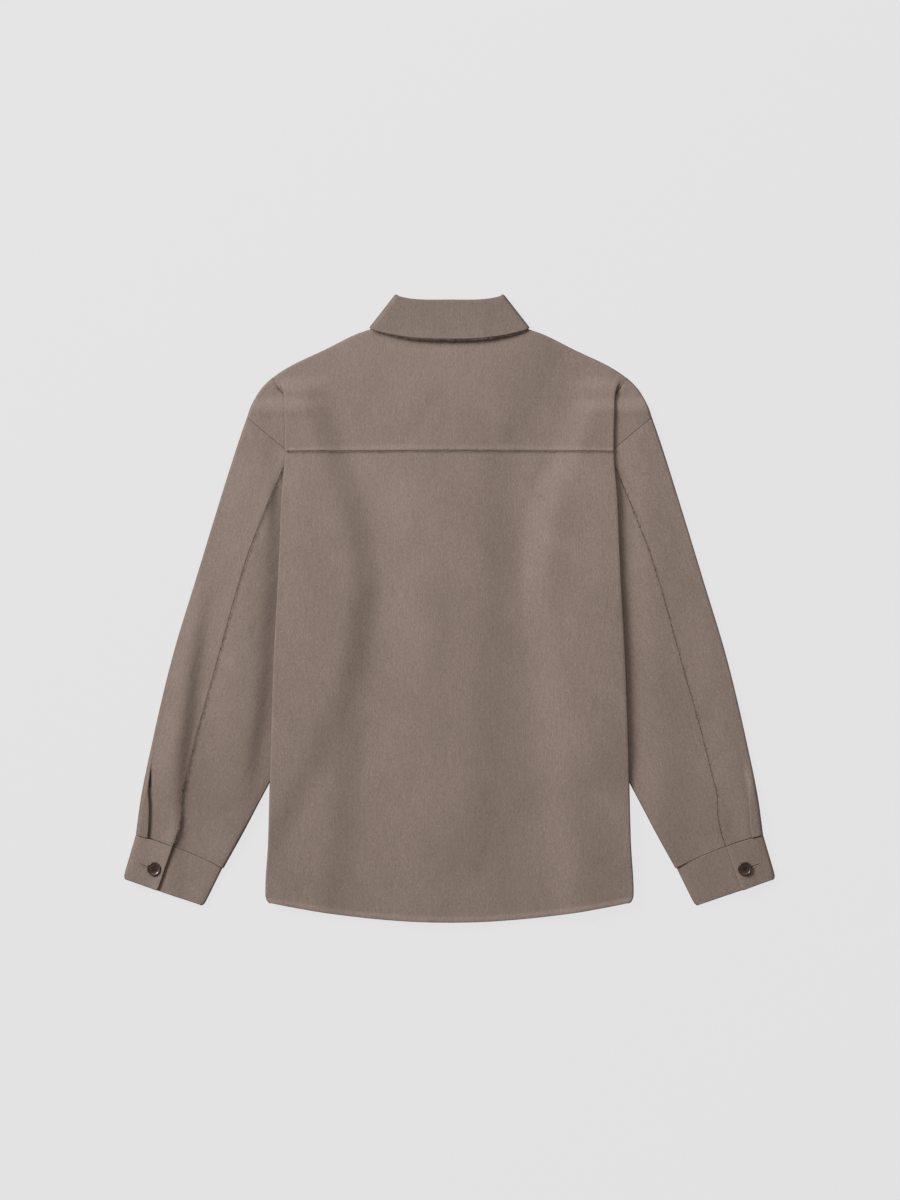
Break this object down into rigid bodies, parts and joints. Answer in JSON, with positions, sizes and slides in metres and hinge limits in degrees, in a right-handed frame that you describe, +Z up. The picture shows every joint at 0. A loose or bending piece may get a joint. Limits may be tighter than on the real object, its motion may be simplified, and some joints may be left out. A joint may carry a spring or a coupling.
{
  "type": "shacket",
  "caption": "Shirt-style wool jacket laid flat on its front, back up: yoke, straight body with a curved hem, long sleeves with buttoned cuffs, and a fold-down collar.",
  "frame": {"origin": "middle of the garment's outline, on the surface it lies on", "axes": "+Z up from the surface, out of the back of the garment; +Y from the hem to the collar; +X to the right of the picture, where the sleeve of the wearer's right arm lies"},
  "size_m": [0.843, 0.8139, 0.0142],
  "materials": {
    "wool": "brushed double-faced wool, taupe",
    "horn": "dark horn, satin"
  },
  "bodies": {
    "root": {"back_panel": "wool", "back_yoke": "wool", "collar_leaf": "wool", "collar_stand": "wool", "cuff_button_left": "horn", "cuff_button_right": "horn", "cuff_left": "wool", "cuff_right": "wool", "front_button_1": "horn", "front_button_2": "horn", "front_button_3": "horn", "front_button_4": "horn", "front_button_5": "horn", "front_button_6": "horn", "front_button_7": "horn", "front_left": "wool", "front_right": "wool", "sleeve_left": "wool", "sleeve_right": "wool"}
  },
  "joints": []
}
